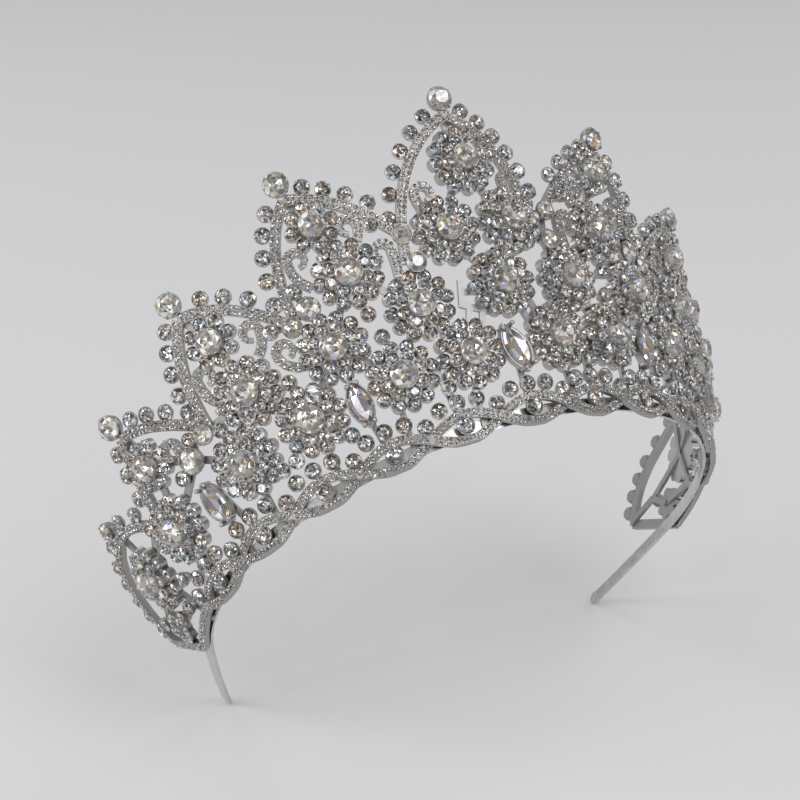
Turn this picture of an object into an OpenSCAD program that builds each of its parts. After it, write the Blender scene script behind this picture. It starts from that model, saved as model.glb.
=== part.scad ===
// Bridal tiara: a flared wall of jewelled castings on an oval head line.
// Units are mm, +Z is up. The origin is the middle of the flat under the front lens of the
// base braid, on the base plane, and the front of the tiara faces -Y. Positions on the wall
// are given as an arc length along the base line from the front (minus to -X), a height up
// the slope, and a lift off it.

/* [Head line] */
// Radius of the front arc of the base line
front_radius = 80; // [76:1:84]
// Radius of the two side arcs of the base line
side_radius = 50; // [46:1:54]
// Heading at which the front arc meets the side arcs, in degrees
join_heading = 42; // [38:1:46]
// Outward lean of the jewelled wall, in degrees from upright
flare = 22.5; // [18:0.5:26]
// Arc length from the front to each end of the jewelled wall
end_arc = 115; // [108:1:118]
// Arc length of each bare arm beyond the jewelled wall
arm_length = 33; // [14:1:36]
// Radius of the bare arms, which are sprung open a little
arm_radius = 400; // [60:10:600]
// Depth of the wall line that is cut away so that the lenses stand on flat lands
foot_trim = 0.9; // [0.8:0.05:1]

/* [Head band] */
// Thickness of the plain band inside the braid
band_thickness = 0.8; // [0.6:0.1:1.2]
// Height of the lower edge of the band up the slope
band_low = 2.3; // [0.9:0.1:3]
// Height of the upper edge of the band up the slope
band_high = 5.4; // [4.4:0.1:6]

/* [Base braid] */
// Arc length of one lens of the braid
lens_pitch = 17.32; // [16.5:0.01:18]
// Number of lenses on each side of the front one
side_lenses = 5; // [3:1:6]
// Width of each pavé strand
strand_width = 2.3; // [1.8:0.1:2.8]
// Thickness of each pavé strand
strand_thickness = 1.3; // [1:0.1:1.8]
// Height of the middle of the braid up the slope
braid_middle = 4.6; // [4.4:0.1:4.8]
// Rise and fall of each strand from the middle
braid_swing = 3; // [2.8:0.1:3.2]
// How far a strand lifts to pass over the other
weave_lift = 0.6; // [0.4:0.05:0.8]

/* [Peaks] */
// Width of each pavé bar of a peak
bar_width = 2.6; // [1.8:0.1:2.8]
// Thickness of each pavé bar of a peak
bar_thickness = 1.5; // [1:0.1:2]
// Diameter of the stone on each tip
tip_stone = 5.8; // [5:0.1:7]
// Diameter of the stone on the tip of the last peak
end_tip_stone = 4.4; // [3.8:0.1:6]
// Diameter of the stones along the outer edges
edge_stone = 3.7; // [3:0.1:4.2]
// Height of the tip stone of each peak, front to end
peak_heights = [82.3, 73.2, 61, 49.3, 37.8];
// Arc position of each peak, front to end
peak_arcs = [0, 33, 59.4, 81.4, 102];

/* [Flowers] */
// Radius to the stones of the outer ring of a double flower
outer_ring = 6.9; // [6:0.1:8]
// Radius to the stones of the inner ring of a double flower
inner_ring = 4.5; // [4:0.1:5]
// Radius to the stones of the ring of a single flower
single_ring = 4.8; // [4.2:0.1:5.4]
// Diameter of a ring stone
ring_stone = 3.3; // [2.8:0.1:3.6]
// Diameter of the stone in the middle of a flower
centre_stone = 6.2; // [5:0.1:7]
// Arc positions of the double flowers of the lower row, front to end
lower_arcs = [10.7, 26.1, 46.8, 63, 85, 102.5];
// Height of the lower row
lower_height = 20.6; // [19:0.1:23]
// Arc positions of the double flowers of the middle row
middle_arcs = [17.3, 36.4, 55.4];
// Heights of the middle row
middle_heights = [34.8, 33, 33.8];
// Arc positions of the double flowers of the upper row
upper_arcs = [6.9, 27.9];
// Heights of the upper row
upper_heights = [50.3, 47.4];

/* [Marquise stones] */
// Arc positions of the marquise stones, front to end
marquise_arcs = [-0.4, 36.5, 73.2];
// Lengths of the marquise stones
marquise_lengths = [12, 10.8, 11];
// Heights of the middle of the marquises up the slope
marquise_heights = [19.4, 18.6, 17.8];
// Lean of the front marquise, in degrees
front_lean = 16; // [0:1:20]

/* [Row stones] */
// Diameter of the stones in the row above the braid
row_stone = 3.6; // [3:0.1:4]
// Diameter of the stone in the eye of each lens
eye_stone = 4; // [3:0.1:4.4]
// Diameter of the stones where neighbouring peaks meet
joint_stone = 4.6; // [4:0.1:5.2]
// Diameter of the single stones that fill the gaps between flowers
filler_stone = 3.4; // [3:0.1:3.8]

/* [Hidden] */
$fn = 24;
deg = 180 / PI;
join_arc = front_radius * join_heading / deg;
end_heading = join_heading + (end_arc - join_arc) / side_radius * deg;
land_reach = (braid_middle - braid_swing - strand_width / 2) * sin(flare);
front_centre = [0, front_radius + land_reach];
side_centre = front_centre + (front_radius - side_radius) * [sin(join_heading), -cos(join_heading)];
arm_centre = side_centre + (side_radius - arm_radius) * [sin(end_heading), -cos(end_heading)];
braid_arc = (side_lenses + 0.5) * lens_pitch;
metal = [0.78, 0.78, 0.8];
crystal = [0.9, 0.93, 0.97];
// Heights of the stones over a lens and of the one in each notch, and their side step.
row_height = 10.3;
notch_height = 7.8;
row_step = 4.5;
// Lifts off the wall line: back of the castings, middle of the lattice strips and of the
// croziers.
casting_back = -1;
lattice_lift = -1.15;
crozier_lift = 0.15;
// Section of the lattice strips.
strip_width = 1.8;
strip_thickness = 0.9;
// Lifts of the seats of the single stones.
edge_seat = 0.3;
tip_seat = 1;
joint_seat = 1.2;
row_seat = 0.5;
eye_seat = 0.4;
marquise_seat = 1.2;
// Heights of the cups under the single stones.
edge_cup = 1.1;
tip_cup = 1.9;
joint_cup = 1.5;
row_cup = 1.4;
eye_cup = 1.2;
// Points of a strand in each lens.
steps_a_lens = 10;

// ---------------------------------------------------------------- wall geometry

// Heading of the outward side of the wall at an arc position, 0 at the front.
function heading(s) =
    s < 0 ? -heading(-s)
    : s < join_arc ? s / front_radius * deg
    : s < end_arc ? join_heading + (s - join_arc) / side_radius * deg
    : end_heading + (s - end_arc) / arm_radius * deg;

function plan_radius(s) =
    abs(s) < join_arc ? front_radius : abs(s) < end_arc ? side_radius : arm_radius;

function plan_centre(s) =
    s < join_arc ? front_centre : s < end_arc ? side_centre : arm_centre;

// Point of the base line.
function base_point(s) =
    s < 0
        ? [-base_point(-s).x, base_point(-s).y]
        : plan_centre(s) + plan_radius(s) * [sin(heading(s)), -cos(heading(s))];

// Point of the wall at arc position s, height v up the slope and lift w off it.
function wall(s, v, w = 0) =
    let(out = v * sin(flare) + w * cos(flare), base = base_point(s))
    [
        base.x + out * sin(heading(s)),
        base.y - out * cos(heading(s)),
        v * cos(flare) - w * sin(flare) - foot_trim
    ];

// How much longer the wall is at height v than along its base line.
function spread(s, v) = 1 + v * sin(flare) / plan_radius(s);

// Puts its children on the wall: x along it, y up the slope, z straight off it.
module on_wall(s, v, w = 0, spin = 0)
    translate(wall(s, v, w))
        rotate([90 + flare, 0, heading(s)])
            rotate(spin)
                children();

// ---------------------------------------------------------------- swept bars

// One corner of a bar's section: side -1 or 1 across the bar, face -1 or 1 through it.
// A path point is [arc position, height, lift, width]. Nothing reaches below the base plane.
function section_corner(path, i, side, face, thickness) =
    let(
        before = path[max(i - 1, 0)],
        after = path[min(i + 1, len(path) - 1)],
        here = path[i],
        stretch = spread(here[0], here[1]),
        run = (after[0] - before[0]) * stretch,
        rise = after[1] - before[1],
        length = norm([run, rise]),
        across = side * here[3] / 2,
        corner = wall(
            here[0] - across * rise / length / stretch,
            here[1] + across * run / length,
            here[2] + face * thickness / 2)
    )
    [corner.x, corner.y, max(corner.z, 0)];

// A flat bar that follows a path on the wall.
module bar_along(path, thickness)
{
    count = len(path);
    corners = [[-1, -1], [1, -1], [1, 1], [-1, 1]];
    points = [
        for (i = [0:count - 1], c = corners)
            section_corner(path, i, c[0], c[1], thickness)
    ];
    sides = [
        for (i = [0:count - 2], k = [0:3], half = [0, 1])
            let(a = 4 * i + k, b = 4 * i + (k + 1) % 4)
            half == 0 ? [a, b + 4, b] : [a, a + 4, b + 4]
    ];
    last = 4 * (count - 1);
    start_cap = [[0, 1, 2], [0, 2, 3]];
    end_cap = [[last, last + 2, last + 1], [last, last + 3, last + 2]];
    polyhedron(points, concat(sides, start_cap, end_cap), convexity = 6);
}

// A straight flat strip between two places on the wall, lying on its back plane.
module strip(from, to, width = strip_width)
{
    middle = (from + to) / 2;
    run = (to[0] - from[0]) * spread(middle[0], middle[1]);
    rise = to[1] - from[1];
    on_wall(middle[0], middle[1], lattice_lift, atan2(rise, run))
        cube([norm([run, rise]), width, strip_thickness], center = true);
}

// ---------------------------------------------------------------- stones and settings

// Cut of a round stone, as shares of its diameter: top of the girdle, table and height.
girdle_share = 0.05;
table_share = 0.58;
crown_share = 0.22;
// Wall of a cup, how far its foot tapers in, and where the taper starts down its height.
cup_wall = 0.2;
cup_taper = 0.4;
cup_shoulder = 0.3;
cup_rim_share = 0.04;

// A round brilliant on its seat: girdle, sloping crown and flat table.
module round_stone(diameter)
    rotate_extrude()
        polygon([
            [0, 0],
            [diameter / 2, 0],
            [diameter / 2, girdle_share * diameter],
            [table_share * diameter / 2, crown_share * diameter],
            [0, crown_share * diameter]
        ]);

// The cup that holds a round stone: a tapered foot, a flat seat and a thin rim.
module cup(diameter, height)
{
    rim = diameter / 2 + cup_wall;
    rotate_extrude()
        polygon([
            [0, -height],
            [rim - cup_taper, -height],
            [rim, -cup_shoulder * height],
            [rim, cup_rim_share * diameter],
            [diameter / 2, cup_rim_share * diameter],
            [diameter / 2, 0],
            [0, 0]
        ]);
}

// Plan of a marquise: two arcs that meet in points along y.
module marquise_plan(length, width)
{
    arc_radius = (length * length / width + width) / 4;
    intersection()
    {
        translate([arc_radius - width / 2, 0])
            circle(arc_radius, $fn = 72);
        translate([width / 2 - arc_radius, 0])
            circle(arc_radius, $fn = 72);
    }
}

function marquise_width(length) = length / 2;

// Heights of the two steps of a marquise stone, and the size of the upper one as shares of
// the length and the width.
marquise_girdle = 0.7;
marquise_crown = 0.9;
marquise_table = [0.78, 0.7];
// Setting of a marquise: thickness under the stone, height of the wall beside it, how much
// longer and wider it is than the stone, and the clearance round the stone.
marquise_floor = 1.5;
marquise_wall = 0.5;
marquise_margin = [1, 0.7];
marquise_gap = 0.05;
// Its four claws: place as shares of the half plan, radius, foot and height.
claw_place = [0.48, 0.88];
claw_radius = 0.5;
claw_foot = -0.8;
claw_height = 2.6;

// A marquise stone: girdle slab with a stepped crown.
module marquise_stone(length)
{
    width = marquise_width(length);
    linear_extrude(marquise_girdle)
        marquise_plan(length, width);
    translate([0, 0, marquise_girdle])
        linear_extrude(marquise_crown)
            marquise_plan(length * marquise_table[0], width * marquise_table[1]);
}

// Four-claw setting of a marquise: back plate with an open wall round the stone.
module marquise_setting(length)
{
    width = marquise_width(length);
    difference()
    {
        translate([0, 0, -marquise_floor])
            linear_extrude(marquise_floor + marquise_wall)
                marquise_plan(length + marquise_margin[0], width + marquise_margin[1]);
        linear_extrude(marquise_floor)
            marquise_plan(length + marquise_gap, width + marquise_gap);
    }
    for (end = [-1, 1], side = [-1, 1])
        translate([side * width / 2 * claw_place[0], end * length / 2 * claw_place[1], claw_foot])
            cylinder(h = claw_height, r = claw_radius);
}

// ---------------------------------------------------------------- flowers

outer_count = 12;
inner_count = 8;
single_count = 8;
outer_lift = 0.9;
inner_lift = 2.1;
centre_lift = 3.6;
inner_turn = 11;
lobe_margin = 0.12;
lobe_radius = ring_stone / 2 + lobe_margin;
// Drop of the centre of a single flower and how much smaller its stone is.
single_drop = 1;
single_less = 0.4;
// Ring stones of the inner ring are this much smaller.
inner_less = 0.3;
// Flare of the collar under the centre stone, at its foot and at its top.
collar_foot = 0.9;
collar_top = 0.2;

module ring(count, radius, lift, turn = 0)
    for (i = [0:count - 1])
        rotate(turn + i * 360 / count)
            translate([radius, 0, lift])
                children();

// Plan of a tier of a flower: a disc with a round lobe under each stone of its ring.
module scalloped_disc(count, radius, lobe, turn = 0)
{
    circle(radius);
    for (i = [0:count - 1])
        rotate(turn + i * 360 / count)
            translate([radius, 0])
                circle(lobe);
}

// Double flower: outer ring, raised inner ring and the raised centre seat on one casting.
module double_flower()
    color(metal)
    {
        translate([0, 0, casting_back])
            linear_extrude(outer_lift - casting_back)
                scalloped_disc(outer_count, outer_ring, lobe_radius);
        linear_extrude(inner_lift)
            scalloped_disc(inner_count, inner_ring, lobe_radius - inner_less / 2, inner_turn);
        cylinder(
            h = centre_lift,
            r1 = centre_stone / 2 + collar_foot,
            r2 = centre_stone / 2 + collar_top);
    }

// Single flower: one ring of eight and the raised centre seat.
module single_flower()
    color(metal)
    {
        translate([0, 0, casting_back])
            linear_extrude(outer_lift - casting_back)
                scalloped_disc(single_count, single_ring, lobe_radius);
        cylinder(
            h = centre_lift - single_drop,
            r1 = (centre_stone - single_less) / 2 + collar_foot,
            r2 = (centre_stone - single_less) / 2 + collar_top);
    }

module double_ring_stones()
{
    ring(outer_count, outer_ring, outer_lift)
        round_stone(ring_stone);
    ring(inner_count, inner_ring, inner_lift, inner_turn)
        round_stone(ring_stone - inner_less);
}

module single_ring_stones()
    ring(single_count, single_ring, outer_lift)
        round_stone(ring_stone);

// Places of the single flowers, which sit under the tips of the side peaks.
top_arcs = [30.4, 56.4, 80.4];
top_heights = [63.8, 48.3, 35.9];

// Small flower in each end panel: place, count, radius, lift and stones of its ring, and
// lift and size of its centre stone.
end_flower = [112.5, 11];
end_count = 7;
end_ring = 3.2;
end_lift = 0.8;
end_stone = 2.7;
end_centre_lift = 1.7;
end_centre = 3.4;

module end_flower_casting()
    on_wall(end_flower[0], end_flower[1])
    {
        translate([0, 0, casting_back])
            linear_extrude(end_lift - casting_back)
                scalloped_disc(end_count, end_ring, end_stone / 2 + lobe_margin);
        cylinder(
            h = end_centre_lift,
            r1 = end_centre / 2 + collar_top,
            r2 = end_centre / 2);
    }

// Places of the double flowers on the centre line.
centre_flower = [1.2, 35.4];
crest_flower = [0.6, 66.4];

module centre_line_flower(place)
    on_wall(place[0], place[1])
        double_flower();

module lower_flower(side, i)
    on_wall(side * lower_arcs[i], lower_height)
        double_flower();

module middle_flower(side, i)
    on_wall(side * middle_arcs[i], middle_heights[i])
        double_flower();

module upper_flower(side, i)
    on_wall(side * upper_arcs[i], upper_heights[i])
        double_flower();

module top_flower(side, i)
    on_wall(side * top_arcs[i], top_heights[i])
        single_flower();

module lower_ring_stones(side)
    color(crystal)
    {
        for (i = [0:len(lower_arcs) - 1])
            on_wall(side * lower_arcs[i], lower_height)
                double_ring_stones();
        on_wall(side * end_flower[0], end_flower[1])
            ring(end_count, end_ring, end_lift)
                round_stone(end_stone);
    }

module middle_ring_stones()
    color(crystal)
    {
        on_wall(centre_flower[0], centre_flower[1])
            double_ring_stones();
        for (side = [-1, 1], i = [0:len(middle_arcs) - 1])
            on_wall(side * middle_arcs[i], middle_heights[i])
                double_ring_stones();
    }

module upper_ring_stones()
    color(crystal)
    {
        on_wall(crest_flower[0], crest_flower[1])
            double_ring_stones();
        for (side = [-1, 1], i = [0:len(upper_arcs) - 1])
            on_wall(side * upper_arcs[i], upper_heights[i])
                double_ring_stones();
    }

module top_ring_stones()
    color(crystal)
        for (side = [-1, 1], i = [0:len(top_arcs) - 1])
            on_wall(side * top_arcs[i], top_heights[i])
                single_ring_stones();

module double_centre_stones()
    color(crystal)
    {
        on_wall(centre_flower[0], centre_flower[1], centre_lift)
            round_stone(centre_stone);
        on_wall(crest_flower[0], crest_flower[1], centre_lift)
            round_stone(centre_stone);
        for (side = [-1, 1])
        {
            for (s = lower_arcs)
                on_wall(side * s, lower_height, centre_lift)
                    round_stone(centre_stone);
            for (i = [0:len(middle_arcs) - 1])
                on_wall(side * middle_arcs[i], middle_heights[i], centre_lift)
                    round_stone(centre_stone);
            for (i = [0:len(upper_arcs) - 1])
                on_wall(side * upper_arcs[i], upper_heights[i], centre_lift)
                    round_stone(centre_stone);
            on_wall(side * end_flower[0], end_flower[1], end_centre_lift)
                round_stone(end_centre);
        }
    }

module top_centre_stones()
    color(crystal)
        for (side = [-1, 1], i = [0:len(top_arcs) - 1])
            on_wall(side * top_arcs[i], top_heights[i], centre_lift - single_drop)
                round_stone(centre_stone - single_less);

// ---------------------------------------------------------------- peaks

// Each peak is an arch of two bars. A bar runs from under the tip stone to its foot, and
// bends toward one control point, all given as [arc position, height].
inner_feet = [[-16.6, 45], [15.8, 52.5], [42, 42.5], [66.2, 33.4], [90.6, 27]];
inner_bends = [[-13.2, 69.5], [24.6, 66.2], [50.9, 55.6], [75.4, 44.2], [95.5, 33]];
outer_feet = [[12.6, 45], [40.8, 43], [65.5, 32], [87, 27], [128, 16]];
outer_bends = [[11, 69.5], [39.9, 60.2], [64.9, 47.4], [84, 39.2], [124, 31]];
// Edge stones on each bar: how many, and the shares of the bar at the first and the last.
inner_edges = [
    [6, 0.11, 0.77], [4, 0.18, 0.71], [4, 0.26, 0.86], [4, 0.26, 0.87], [2, 0.3, 0.72]
];
outer_edges = [
    [6, 0.1, 0.74], [5, 0.15, 0.86], [4, 0.11, 0.65], [3, 0.2, 0.77], [6, 0.1, 0.86]
];
bar_steps = 8;

// How far below its tip stone a peak's bars meet.
tip_drop = 4;
// How far the edge stones reach over their bar.
edge_overlap = 0.2;

function tip_foot(i) = [peak_arcs[i], peak_heights[i] - tip_drop];

function tip_size(i) = i < len(peak_arcs) - 1 ? tip_stone : end_tip_stone;

// Point at share t of a bar that bends from a to c toward b.
function bend(a, b, c, t) = (1 - t) * (1 - t) * a + 2 * t * (1 - t) * b + t * t * c;

function bar_path(i, bend_point, foot) = [
    for (k = [0:bar_steps])
        let(p = bend(tip_foot(i), bend_point, foot, k / bar_steps))
        [p[0], p[1], 0, bar_width]
];

// Places of the edge stones beside a bar, outside of the peak on the given side.
function edge_places(i, bend_point, foot, edges, side) = [
    for (k = [0:edges[0] - 1])
        let(
            t = edges[1] + (edges[2] - edges[1]) * k / (edges[0] - 1),
            p = bend(tip_foot(i), bend_point, foot, t),
            q = bend(tip_foot(i), bend_point, foot, t + 0.02),
            stretch = spread(p[0], p[1]),
            run = (q[0] - p[0]) * stretch,
            rise = q[1] - p[1],
            reach = (bar_width + edge_stone) / 2 - edge_overlap
        )
        [
            p[0] - side * reach * rise / norm([run, rise]) / stretch,
            p[1] + side * reach * run / norm([run, rise])
        ]
];

function peak_edges(i) = concat(
    edge_places(i, inner_bends[i], inner_feet[i], inner_edges[i], -1),
    edge_places(i, outer_bends[i], outer_feet[i], outer_edges[i], 1)
);

// A crozier of pavé: a bent stem that curls over at its top, closes in and tapers.
// Its place is the middle of the curl, and hand 1 curls to the right of the stem.
curl_radius = 2.15;
curl_width = 2.3;
curl_steps = 10;
curl_sweep = 262;
stem_steps = 3;
// Shares of the radius and the width that are left at the end of the curl.
curl_closing = 0.8;
curl_taper = 0.5;

// Points of the stem and then of the curl, before the crozier is turned: [x, y, width].
function crozier_outline(stem_radius, stem_sweep) = concat(
    [
        for (k = [0:stem_steps - 1])
            let(angle = stem_sweep * (1 - k / stem_steps))
            [
                stem_radius - curl_radius - stem_radius * cos(angle),
                -stem_radius * sin(angle),
                curl_width
            ]
    ],
    [
        for (k = [0:curl_steps])
            let(
                share = k / curl_steps,
                angle = curl_sweep * share,
                radius = curl_radius * (1 - (1 - curl_closing) * share)
            )
            [
                -radius * cos(angle),
                radius * sin(angle),
                curl_width * (1 - (1 - curl_taper) * share * share)
            ]
    ]
);

function crozier_path(place, hand, turn, stem_radius, stem_sweep) =
    let(stretch = spread(place[0], place[1]))
    [
        for (p = crozier_outline(stem_radius, stem_sweep))
            let(x = hand * p[0], y = p[1])
            [
                place[0] + (x * cos(turn) - y * sin(turn)) / stretch,
                place[1] + x * sin(turn) + y * cos(turn),
                crozier_lift,
                p[2]
            ]
    ];

// Croziers of each peak: [arc position, height, hand, turn, stem radius, stem sweep].
peak_croziers = [
    [[-8.9, 60.1, 1, 0, 9, 36], [8.9, 60.1, -1, 0, 9, 36]],
    [[24.4, 57.8, 1, 0, 6, 40], [20.2, 49.5, 1, 0, 40, 10], [35.5, 55, -1, 12, 8, 62]],
    [[49.1, 45.2, 1, 0, 6.5, 60], [45.1, 37.4, -1, -8, 5.7, 82], [60.9, 42.1, -1, 12, 8, 48]],
    [[74.6, 34.2, 1, 0, 8, 30]],
    []
];

module peak(side, i)
    color(metal)
        mirror([side < 0 ? 1 : 0, 0, 0])
        {
            bar_along(bar_path(i, inner_bends[i], inner_feet[i]), bar_thickness);
            bar_along(bar_path(i, outer_bends[i], outer_feet[i]), bar_thickness);
            for (c = peak_croziers[i])
                bar_along(crozier_path([c[0], c[1]], c[2], c[3], c[4], c[5]), bar_thickness);
            for (p = peak_edges(i))
                on_wall(p[0], p[1], edge_seat)
                    cup(edge_stone, edge_cup);
            on_wall(peak_arcs[i], peak_heights[i], tip_seat)
                cup(tip_size(i), tip_cup);
        }

module edge_stones(side)
    color(crystal)
        mirror([side < 0 ? 1 : 0, 0, 0])
            for (i = [0:len(peak_arcs) - 1], p = peak_edges(i))
                if (i > 0 || side > 0)
                    on_wall(p[0], p[1], edge_seat)
                        round_stone(edge_stone);

module tip_stones()
    color(crystal)
        for (i = [0:len(peak_arcs) - 1], side = i == 0 ? [1] : [-1, 1])
            on_wall(side * peak_arcs[i], peak_heights[i], tip_seat)
                round_stone(tip_size(i));

// ---------------------------------------------------------------- joint stones

// Single stones that close the corners between peaks and flowers: [arc position, height, diameter].
joint_places = [
    [15.6, 52, joint_stone],
    [14.8, 44.6, joint_stone],
    [37.4, 43.6, joint_stone + 0.8],
    [38.4, 48.6, row_stone],
    [41.7, 41.4, joint_stone],
    [66.9, 31.9, joint_stone],
    [71.9, 29, joint_stone + 1.4],
    [75.9, 27.6, filler_stone],
    [69.9, 33.3, filler_stone - 0.4],
    [90.6, 26.6, row_stone],
    [45.7, 42.8, filler_stone],
    [27.5, 36.8, filler_stone],
    [26.8, 30.8, filler_stone],
    [47.2, 30.6, filler_stone],
    [63.6, 30.2, filler_stone],
    [53.8, 14.4, filler_stone],
    [57.4, 14.2, filler_stone],
    [41, 13.2, filler_stone],
    [20.4, 56.2, filler_stone],
    [94.4, 13.2, filler_stone],
    [18, 14.4, filler_stone],
    [100.4, 8.8, filler_stone],
    [106, 9.8, filler_stone],
    [117.5, 16.8, filler_stone]
];
// Height of the post under each cup and its radius as a share of the stone.
post_height = 1.5;
post_share = 0.33;

module joint_settings(side)
    color(metal)
        for (p = joint_places)
        {
            on_wall(side * p[0], p[1], joint_seat)
                cup(p[2], joint_cup);
            on_wall(side * p[0], p[1], lattice_lift)
                cylinder(h = post_height, r = p[2] * post_share);
        }

module joint_stones()
    color(crystal)
        for (side = [-1, 1], p = joint_places)
            on_wall(side * p[0], p[1], joint_seat)
                round_stone(p[2]);

// ---------------------------------------------------------------- base braid

// Path of a strand between two arc positions; phase 1 is high in the front lens.
function strand_path(from, to, phase) =
    let(steps = round((to - from) / lens_pitch * steps_a_lens))
    [
        for (k = [0:steps])
            let(
                s = from + (to - from) * k / steps,
                swing = cos(180 * s / lens_pitch),
                weave = sin(180 * s / lens_pitch)
            )
            [
                s,
                braid_middle + phase * braid_swing * swing,
                phase * weave_lift * weave,
                strand_width
            ]
    ];

module braid(from, to)
    color(metal)
    {
        bar_along(strand_path(from, to, 1), strand_thickness);
        bar_along(strand_path(from, to, -1), strand_thickness);
    }

front_braid_arc = 1.5 * lens_pitch;

module braid_front()
    braid(-front_braid_arc, front_braid_arc);

module braid_left()
    braid(-braid_arc, -front_braid_arc);

module braid_right()
    braid(front_braid_arc, braid_arc);

// Straight run that carries the braid to its end, the slanting edge that rises from it to
// the last peak, and the small flower between them.
end_corner = [111.5, 3];
end_steps = 6;

module end_panel(side)
    color(metal)
        mirror([side < 0 ? 1 : 0, 0, 0])
        {
            start = [braid_arc - 1, braid_middle];
            bar_along(
                [
                    for (k = [0:end_steps])
                        let(p = start + (end_corner - start) * k / end_steps)
                        [p[0], p[1], 0, strand_width]
                ],
                strand_thickness);
            bar_along(
                [
                    for (k = [0:end_steps])
                        let(p = end_corner + (last_foot - end_corner) * k / end_steps)
                        [p[0], p[1], 0, bar_width]
                ],
                bar_thickness);
            end_flower_casting();
        }

last_foot = outer_feet[len(outer_feet) - 1];

// ---------------------------------------------------------------- rows of single stones

// Stones of the row on one side: three over each lens and one in each notch.
function row_places(side) = [
    for (lens = [0:side_lenses], place = [-1, 0, 1])
        if (lens > 0 || place > 0 || (place == 0 && side > 0))
            [side * (lens * lens_pitch + place * row_step), row_height + (place == 0 ? 0.3 : -0.1)],
    for (lens = [0:side_lenses])
        [side * (lens + 0.5) * lens_pitch, notch_height]
];

module row_settings(side)
    color(metal)
        for (p = row_places(side))
            on_wall(p[0], p[1], row_seat)
                cup(row_stone, row_cup);

module row_stones(side)
    color(crystal)
        for (p = row_places(side))
            on_wall(p[0], p[1], row_seat)
                round_stone(row_stone);

// How far the eye stones sit above the middle of the braid, and the upright bar behind
// each: width, thickness and lift.
eye_rise = 0.5;
eye_bar_width = 1.4;
eye_bar_thickness = 0.8;
eye_bar_lift = -0.9;

module eye_settings()
    color(metal)
        for (lens = [-side_lenses:side_lenses])
        {
            on_wall(lens * lens_pitch, braid_middle + eye_rise, eye_seat)
                cup(eye_stone, eye_cup);
            on_wall(lens * lens_pitch, braid_middle, eye_bar_lift)
                cube([eye_bar_width, 2 * braid_swing, eye_bar_thickness], center = true);
        }

module eye_stones()
    color(crystal)
        for (lens = [-side_lenses:side_lenses])
            on_wall(lens * lens_pitch, braid_middle + eye_rise, eye_seat)
                round_stone(eye_stone);

// ---------------------------------------------------------------- marquises

module marquise_place(side, i)
    on_wall(side * marquise_arcs[i], marquise_heights[i], marquise_seat, i == 0 ? front_lean : 0)
        children();

module marquise_settings(side)
    color(metal)
        for (i = [0:len(marquise_arcs) - 1])
            if (i > 0 || side > 0)
                marquise_place(side, i)
                    marquise_setting(marquise_lengths[i]);

module marquise_stones()
    color(crystal)
        for (i = [0:len(marquise_arcs) - 1], side = i == 0 ? [1] : [-1, 1])
            marquise_place(side, i)
                marquise_stone(marquise_lengths[i]);

// ---------------------------------------------------------------- band and lattice

// The plain band behind the braid, which runs on past it as two bare arms.
module head_band()
    color(metal)
    {
        band_lift = -strand_thickness / 2 - weave_lift - band_thickness / 2;
        band_middle = (band_low + band_high) / 2;
        band_width = band_high - band_low;
        band_arc = end_arc + arm_length;
        band_steps = 72;
        bar_along(
            [
                for (k = [0:band_steps])
                    [band_arc * (2 * k / band_steps - 1), band_middle, band_lift, band_width]
            ],
            band_thickness);
        for (side = [-1, 1])
            on_wall(side * band_arc, band_middle, band_lift - band_thickness / 2)
                cylinder(h = band_thickness, r = band_width / 2 + 0.3);
    }

// Upright stems from behind the braid to the lower flowers and the marquises:
// arc position at the braid and at the top.
stem_foot = 2.5;
stem_width = 1.4;
stems = [
    [12.8, 10.9], [17.3, 18.6], [30.1, 28.4], [35.2, 36.5], [47.5, 46.8],
    [64.8, 63], [69.6, 72.4], [74.8, 73.8], [86.6, 85], [99.2, 102.5]
];

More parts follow.
